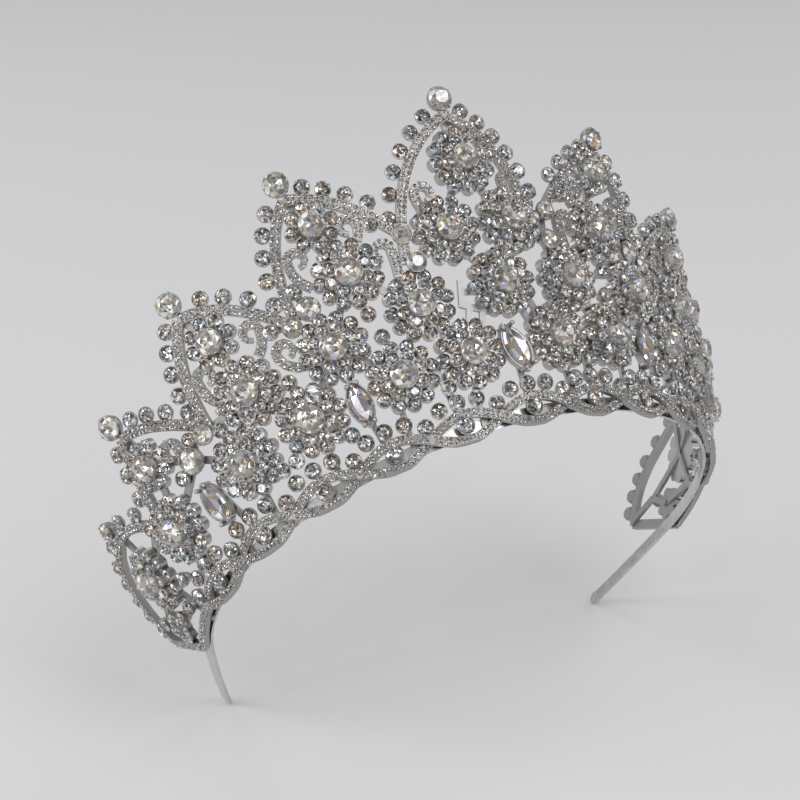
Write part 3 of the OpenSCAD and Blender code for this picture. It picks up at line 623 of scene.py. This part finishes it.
def stone_group(node, claws):
    """Cut stones in place of a node's plain ones, and the claws that hold them."""
    stones = Pile()
    holders = Pile()
    for points in islands(node):
        seat, along, out, size, _ = seat_of(points)
        if (seat - LOW_FLOWER_SEAT).length < LOW_FLOWER_REACH:
            seat = seat + LOW_FLOWER_SHIFT
        spin = rng.uniform(0, 2 * math.pi)
        where = placed(seat, along, out, size * STONE_SPREAD, spin)
        # Each facet gets a painted reflection, milder on large stones.
        large = size > LARGE_STONE
        if large:
            tones = painted_reflection_tones(len(STONE[1]), LARGE_STEPS, LARGE_SHARES, mixed=True)
        else:
            tones = painted_reflection_tones(len(STONE[1]))
        # The girdle gets a painted highlight all round.
        tones[:GIRDLE_FACES] = [GIRDLE_HIGHLIGHT] * GIRDLE_FACES
        # A few stones get a painted flash of a lamp over their whole table.
        if rng.random() < FLASH_SHARE:
            for k in range(STONE_SIDES):
                last = GIRDLE_FACES + FACES_A_SIDE * (k + 1)
                tones[last - TABLE_FACES_A_SIDE:last] = [FLASH] * TABLE_FACES_A_SIDE
        stones.add(STONE, where, slot=int(large), tones=tones)
        for k in range(claws):
            holders.add(CLAW, where @ Matrix.Rotation(2 * math.pi * k / claws, 4, "Z"))
    piece = stones.build("cut_" + node, [crystal, crystal_large])
    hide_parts(node)
    prongs = holders.build("claws_" + node, [silver])
    smooth(prongs)


for gem_node, claws in (
    ("tip_gems", 4),
    ("flower_centre_gems", 6),
    ("edge_gems", 4),
    ("row_gems", 4),
    ("eye_gems", 4),
    ("joint_gems", 4),
    ("lower_ring_gems_left", 3),
    ("lower_ring_gems_right", 3),
    ("middle_ring_gems", 3),
    ("upper_ring_gems", 3),
):
    stone_group(gem_node, claws)

# Painted reflections of a long stone's facets: greys with a violet cast, a tan reflection, a dark
# one and a white one.
LONG_REFLECTIONS = np.array([
    [0.3, 0.29, 0.32],
    [0.4, 0.385, 0.42],
    [0.52, 0.51, 0.55],
    [0.62, 0.42, 0.22],
    [0.14, 0.14, 0.13],
    [0.85, 0.85, 0.88],
])
LONG_SHARES = [0.26, 0.26, 0.18, 0.12, 0.08, 0.1]
# Claws of a long stone: their places as shares of its half length and half width, the
# radius of their rounded tips and how high these stand over its seat.
LONG_CLAW = (0.88, 0.48)
LONG_CLAW_RADIUS = 0.56
LONG_CLAW_TIP = 1.75


def ball_form(sides=10, levels=6):
    """A ball of unit radius."""
    rings = []
    for level in range(1, levels):
        angle = math.pi * level / levels - math.pi / 2
        rings.append(circle_points(math.cos(angle), math.sin(angle), sides))
    count = sides * len(rings)
    faces = []
    for level in range(len(rings) - 1):
        faces += strip_faces(level * sides, (level + 1) * sides, sides)
    faces += [((k + 1) % sides, k, count) for k in range(sides)]
    last = count - sides
    faces += [(last + k, last + (k + 1) % sides, count + 1) for k in range(sides)]
    rings.append(np.array([[0, 0, -1.0], [0, 0, 1.0]]))
    return np.concatenate(rings), faces


BALL = ball_form()


def marquise_group():
    """The long stones and the rounded tips of their claws."""
    stones = Pile()
    tips = Pile()
    for points in islands("marquise_gems"):
        seat, along, out, length, width = seat_of(points)
        if along.z < 0:
            along = -along
        across = along.cross(out)
        where = placed(seat, across, out, MM)
        form = marquise(length / MM, width / MM)
        # Each facet of the long stone gets a painted reflection.
        tones = LONG_REFLECTIONS[rng.choice(len(LONG_REFLECTIONS), size=len(form[1]), p=LONG_SHARES)]
        stones.add(form, where, tones=[tuple(tone) for tone in tones])
        for end in (-1, 1):
            for side in (-1, 1):
                spot = seat + along * end * length / 2 * LONG_CLAW[0]
                spot = spot + across * side * width / 2 * LONG_CLAW[1] + out * LONG_CLAW_TIP * MM
                tips.add(BALL, placed(spot, across, out, LONG_CLAW_RADIUS * MM))
    piece = stones.build("cut_marquise_gems", [crystal_long])
    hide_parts("marquise_gems")
    prongs = tips.build("claws_marquise_gems", [silver])
    smooth(prongs)


marquise_group()

# ---------------------------------------------------------------- pavé on the bars

# The bars of each peak, as in the solids: tips, feet and the points that bend them.
PEAK_ARCS = [0, 33, 59.4, 81.4, 102]
PEAK_HEIGHTS = [82.3, 73.2, 61, 49.3, 37.8]
INNER_FEET = [(-16.6, 45), (15.8, 52.5), (42, 42.5), (66.2, 33.4), (90.6, 27)]
INNER_BENDS = [(-13.2, 69.5), (24.6, 66.2), (50.9, 55.6), (75.4, 44.2), (95.5, 33)]
OUTER_FEET = [(12.6, 45), (40.8, 43), (65.5, 32), (87, 27), (128, 16)]
OUTER_BENDS = [(11, 69.5), (39.9, 60.2), (64.9, 47.4), (84, 39.2), (124, 31)]
# Croziers of each peak: arc position, height, hand, turn, stem radius and stem sweep.
CROZIERS = [
    [(-8.9, 60.1, 1, 0, 9, 36), (8.9, 60.1, -1, 0, 9, 36)],
    [(24.4, 57.8, 1, 0, 6, 40), (20.2, 49.5, 1, 0, 40, 10), (35.5, 55, -1, 12, 8, 62)],
    [(49.1, 45.2, 1, 0, 6.5, 60), (45.1, 37.4, -1, -8, 5.7, 82), (60.9, 42.1, -1, 12, 8, 48)],
    [(74.6, 34.2, 1, 0, 8, 30)],
    [],
]
# A bar starts this far below the tip of its peak.
BAR_START = 4
BAR_WIDTH = 2.6
STRAND_WIDTH = 2.3
BAR_FACE = 0.75
STRAND_FACE = 0.65
CROZIER_LIFT = 0.15
CURL_RADIUS = 2.15
CURL_WIDTH = 2.3
CURL_SWEEP = 262 * DEG
CURL_CLOSING = 0.8
CURL_TAPER = 0.5
LENS_PITCH = 17.32
SIDE_LENSES = 5
STEPS_A_LENS = 24
BRAID_MIDDLE = 4.6
BRAID_SWING = 3.0
WEAVE_LIFT = 0.6
END_CORNER = (111.5, 3)
# Pavé in millimetres: a stone is at most this wide, and at most this share of its bar.
PAVE_STONE = 1.25
PAVE_SHARE = 0.485
# The metal left outside a row, how deep the stones sit, and the bare length at a bar's ends.
PAVE_RIM = 0.03
PAVE_DEPTH = 0.05
PAVE_MARGIN = 0.5
# A bar that is narrower than this has one row, with stones of this share of its width.
TWO_ROWS = 1.3
ONE_ROW_SHARE = 0.75
BEAD_RADIUS = 0.13
BEAD_INSET = 0.12


def bar_points(i, bend, foot, steps=60):
    """Points [arc, height, lift, width] along a bar of peak i, from its tip to its foot."""
    start = np.array([PEAK_ARCS[i], PEAK_HEIGHTS[i] - BAR_START])
    bend, foot = np.array(bend), np.array(foot)
    t = np.linspace(0, 1, steps + 1)[:, None]
    plan = (1 - t) ** 2 * start + 2 * t * (1 - t) * bend + t * t * foot
    return [(s, v, BAR_FACE, BAR_WIDTH) for s, v in plan]


def crozier_points(place, steps=36):
    """Points along a crozier: its bent stem, then its curl, which closes in and tapers."""
    s0, v0, hand, turn, stem_radius, stem_sweep = place
    stretch = spread(s0, v0)
    turn *= DEG
    outline = []
    for k in range(steps // 3):
        angle = stem_sweep * DEG * (1 - 3 * k / steps)
        x = stem_radius - CURL_RADIUS - stem_radius * math.cos(angle)
        outline.append((x, -stem_radius * math.sin(angle), CURL_WIDTH))
    for k in range(steps + 1):
        share = k / steps
        radius = CURL_RADIUS * (1 - (1 - CURL_CLOSING) * share)
        width = CURL_WIDTH * (1 - (1 - CURL_TAPER) * share * share)
        angle = CURL_SWEEP * share
        outline.append((-radius * math.cos(angle), radius * math.sin(angle), width))
    return [
        (
            s0 + (hand * x * math.cos(turn) - y * math.sin(turn)) / stretch,
            v0 + hand * x * math.sin(turn) + y * math.cos(turn),
            BAR_FACE + CROZIER_LIFT,
            width,
        )
        for x, y, width in outline
    ]


def strand_points(start, end, phase):
    """Points along one strand of the braid, which swings up and down and weaves in and out."""
    steps = round((end - start) / LENS_PITCH * STEPS_A_LENS)
    points = []
    for s in np.linspace(start, end, steps + 1):
        turn = math.pi * s / LENS_PITCH
        points.append((
            s,
            BRAID_MIDDLE + phase * BRAID_SWING * math.cos(turn),
            STRAND_FACE + phase * WEAVE_LIFT * math.sin(turn),
            STRAND_WIDTH,
        ))
    return points


SMALL = small_stone()


# A grain of metal, in its own radii: its shoulder, the turn of that, and its top.
BEAD_SIDES = 6
BEAD_SHOULDER = (0.75, 0.7)
BEAD_TURN = 0.5
BEAD_TOP = 1.05


def bead_form():
    """A grain of metal between stones: a low dome."""
    sides = BEAD_SIDES
    rings = [
        circle_points(1.0, 0.0, sides),
        circle_points(*BEAD_SHOULDER, sides, BEAD_TURN),
        np.array([[0, 0, BEAD_TOP]]),
    ]
    faces = strip_faces(0, sides, sides)
    faces += [(sides + k, sides + (k + 1) % sides, 2 * sides) for k in range(sides)]
    return np.concatenate(rings), faces


BEAD = bead_form()


def pave(pile, beads, path):
    """Small stones along a path, in two rows with metal grains between, or in one if narrow."""
    places = [wall(s, v, w) for s, v, w, _ in path]
    outs = [wall_axes(s)[2] for s, _, _, _ in path]
    lengths = np.cumsum([0] + [(b - a).length / MM for a, b in zip(places, places[1:])])
    usable = lengths[-1] - 2 * PAVE_MARGIN
    count = max(1, int(usable / min(PAVE_STONE, PAVE_SHARE * path[0][3])))
    pitch = usable / count
    for k in range(count + 1):
        reach = PAVE_MARGIN + k * pitch
        i = min(int(np.searchsorted(lengths, reach, side="right")) - 1, len(path) - 2)
        share = (reach - lengths[i]) / (lengths[i + 1] - lengths[i])
        place = places[i].lerp(places[i + 1], share)
        along = (places[i + 1] - places[i]).normalized()
        out = outs[i]
        across = out.cross(along)
        width = path[i][3]
        if width > TWO_ROWS:
            size = min(PAVE_STONE, PAVE_SHARE * width)
            offset = width / 2 - size / 2 - PAVE_RIM
            rows = (-offset, offset)
            bead_rows = (-width / 2 + BEAD_INSET, 0.0, width / 2 - BEAD_INSET)
        else:
            size = ONE_ROW_SHARE * width
            rows = (0.0,)
            bead_rows = ()
        if k < count:
            for row in rows:
                seat = place + (along * pitch / 2 + across * row) * MM - out * PAVE_DEPTH * MM
                spin = rng.uniform(0, math.pi)
                girth = size * MM
                # A stone at the lowest edge is smaller, so that it stays above the flat foot.
                seat.z += max(0.0, girth / 2 - seat.z) / 2
                girth = min(girth, 2 * seat.z)
                if girth > size * MM / 3:
                    # The small stone's facets get painted reflections.
                    tones = painted_reflection_tones(len(SMALL[1]), shares=PAVE_SHARES)
                    pile.add(SMALL, placed(seat, along, out, girth, spin), tones=tones)
        for row in bead_rows:
            spot = place + across * row * MM
            if spot.z > BEAD_RADIUS * MM:
                beads.add(BEAD, placed(spot, along, out, BEAD_RADIUS * MM))


def mirrored(path):
    return [(-s, v, w, width) for s, v, w, width in path]


def pave_group(name, paths):
    stones = Pile()
    beads = Pile()
    for path in paths:
        pave(stones, beads, path)
    piece = stones.build("pave_" + name, [crystal_small])
    grains = beads.build("grains_" + name, [silver])
    smooth(grains)


for i in range(len(PEAK_ARCS)):
    paths = [
        bar_points(i, INNER_BENDS[i], INNER_FEET[i]),
        bar_points(i, OUTER_BENDS[i], OUTER_FEET[i]),
    ]
    paths += [crozier_points(place) for place in CROZIERS[i]]
    if i == 0:
        pave_group("peak_front", paths)
        continue
    pave_group(f"peak_right_{i}", paths)
    pave_group(f"peak_left_{i}", [mirrored(path) for path in paths])

BRAID_ARC = (SIDE_LENSES + 0.5) * LENS_PITCH
FRONT_ARC = 1.5 * LENS_PITCH
for name, start, end in (
    ("front", -FRONT_ARC, FRONT_ARC),
    ("left", -BRAID_ARC, -FRONT_ARC),
    ("right", FRONT_ARC, BRAID_ARC),
):
    pave_group("braid_" + name, [strand_points(start, end, 1), strand_points(start, end, -1)])

END_STEPS = 12
end_run = [
    tuple(p) + (STRAND_FACE, STRAND_WIDTH)
    for p in np.linspace((BRAID_ARC, BRAID_MIDDLE), END_CORNER, END_STEPS)
]
end_edge = [
    tuple(p) + (BAR_FACE, BAR_WIDTH)
    for p in np.linspace(END_CORNER, OUTER_FEET[-1], END_STEPS)
]
pave_group("end_right", [end_run, end_edge])
pave_group("end_left", [mirrored(end_run), mirrored(end_edge)])

# ---------------------------------------------------------------- floor, light and camera

# The tiara leans back with the ends of its arms on the floor, as in the photograph:
# the floor's up direction leans forward from the tiara's own.
FLOOR_LEAN = 59.15 * DEG
floor_up = Vector((0, -math.sin(FLOOR_LEAN), math.cos(FLOOR_LEAN)))
FLOOR_RADIUS = 2.6
FLOOR_SIDES = 96
# Gap between the floor and the tiara's lowest point.
FLOOR_GAP = 0.05 * MM
FLOOR_CENTRE = Vector((0, 0, 20 * MM))
FLOOR_TONES = [(0.76, 0.76, 0.77, 1), (0.8, 0.8, 0.805, 1)]


def lowest_reach():
    """Distance along the floor's up direction of the lowest point of the tiara."""
    up = np.array(floor_up)
    low = []
    for node in nodes.values():
        points = np.empty(len(node.data.vertices) * 3)
        node.data.vertices.foreach_get("co", points)
        low.append((points.reshape(-1, 3) @ up).min())
    return min(low)


def make_floor():
    mesh = bpy.data.meshes.new("floor")
    rim = circle_points(FLOOR_RADIUS, 0, FLOOR_SIDES)
    mesh.from_pydata(rim.tolist(), [], [tuple(range(FLOOR_SIDES))])
    floor = bpy.data.objects.new("floor", mesh)
    bpy.context.collection.objects.link(floor)
    drop = lowest_reach() - FLOOR_GAP - FLOOR_CENTRE.dot(floor_up)
    floor.matrix_world = placed(FLOOR_CENTRE + floor_up * drop, (1, 0, 0), floor_up)
    material, tree, shader = new_material("floor_paint")
    link = tree.links.new
    noise = add_node(tree, "ShaderNodeTexNoise")
    noise.inputs["Scale"].default_value = 6
    ramp = add_node(tree, "ShaderNodeValToRGB")
    for stop, tone in zip(ramp.color_ramp.elements, FLOOR_TONES):
        stop.color = tone
    link(noise.outputs["Fac"], ramp.inputs["Fac"])
    link(ramp.outputs["Color"], shader.inputs["Base Color"])
    shader.inputs["Roughness"].default_value = 0.7
    # The floor has no underside, so that it doesn't hide the tiara from behind.
    geometry = add_node(tree, "ShaderNodeNewGeometry")
    clear = add_node(tree, "ShaderNodeBsdfTransparent")
    choose = add_node(tree, "ShaderNodeMixShader")
    link(geometry.outputs["Backfacing"], choose.inputs["Fac"])
    link(shader.outputs["BSDF"], choose.inputs[1])
    link(clear.outputs["BSDF"], choose.inputs[2])
    link(choose.outputs["Shader"], tree.nodes["Material Output"].inputs["Surface"])
    mesh.materials.append(material)


make_floor()

# The camera of the photograph, as it was fitted to the marked points.
CAMERA_PLACE = Vector((-217.175, -319.807, -199.695)) * MM
CAMERA_HEADING = 30.364 * DEG
CAMERA_RISE = 29.989 * DEG
CAMERA_ROLL = -28.019 * DEG
FOCAL_PIXELS = 1883.45
IMAGE_SIDE = 800
SENSOR = 36.0


def make_camera():
    data = bpy.data.cameras.new("camera")
    data.sensor_width = SENSOR
    data.lens = FOCAL_PIXELS / IMAGE_SIDE * SENSOR
    data.clip_start = 0.02
    data.clip_end = 20
    camera = bpy.data.objects.new("camera", data)
    bpy.context.collection.objects.link(camera)
    forward = Vector((
        math.sin(CAMERA_HEADING) * math.cos(CAMERA_RISE),
        math.cos(CAMERA_HEADING) * math.cos(CAMERA_RISE),
        math.sin(CAMERA_RISE),
    ))
    level_right = forward.cross(Vector((0, 0, 1))).normalized()
    level_up = level_right.cross(forward)
    right = level_right * math.cos(CAMERA_ROLL) + level_up * math.sin(CAMERA_ROLL)
    up = right.cross(forward)
    turn = Matrix((right, up, -forward)).transposed().to_4x4()
    camera.matrix_world = Matrix.Translation(CAMERA_PLACE) @ turn
    bpy.context.scene.camera = camera
    return right, forward


camera_right, camera_forward = make_camera()

# Directions in the room, level with the floor: to the camera's right and toward the camera.
room_right = (camera_right - floor_up * camera_right.dot(floor_up)).normalized()
room_near = room_right.cross(floor_up)
if room_near.dot(camera_forward) > 0:
    room_near = -room_near
TARGET = Vector((0, 10 * MM, 40 * MM))


def area_light(name, right, near, up, size, power):
    """A round soft lamp: metres to the right, toward the camera and up from the tiara."""
    data = bpy.data.lights.new(name, "AREA")
    data.shape = "DISK"
    data.size = size
    data.energy = power
    lamp = bpy.data.objects.new(name, data)
    bpy.context.collection.objects.link(lamp)
    place = TARGET + room_right * right + room_near * near + floor_up * up
    lamp.location = place
    lamp.rotation_mode = "QUATERNION"
    lamp.rotation_quaternion = (TARGET - place).to_track_quat("-Z", "Y")
    lamp.visible_camera = False


area_light("key", 0.6, 0.55, 1.1, 1.0, 4.2)
area_light("fill", -1.0, 0.6, 0.75, 0.8, 2.9)
area_light("side", -1.15, 0.05, 0.3, 0.45, 2.2)
area_light("left_rim", -0.7, -0.9, 0.8, 0.7, 1.5)
area_light("right_rim", 0.9, -0.8, 0.7, 0.7, 1.5)
# A ring of small lamps before the tiara, for glints: its centre, half width and half height.
SPARKS = 9
SPARK_CENTRE = (0.1, 0.85, 0.55)
SPARK_REACH = (0.75, 0.5)
SPARK_SIZE = 0.06
SPARK_POWER = 0.25
for index in range(SPARKS):
    angle = 2 * math.pi * index / SPARKS
    right = SPARK_CENTRE[0] + SPARK_REACH[0] * math.cos(angle)
    up = SPARK_CENTRE[2] + SPARK_REACH[1] * math.sin(angle)
    area_light(f"spark_{index}", right, SPARK_CENTRE[1], up, SPARK_SIZE, SPARK_POWER)

world = bpy.data.worlds.new("studio")
bpy.context.scene.world = world
world.use_nodes = True
background = world.node_tree.nodes["Background"]
background.inputs["Color"].default_value = (0.45, 0.45, 0.455, 1)
background.inputs["Strength"].default_value = 1.0

bpy.context.scene.view_settings.view_transform = "Standard"
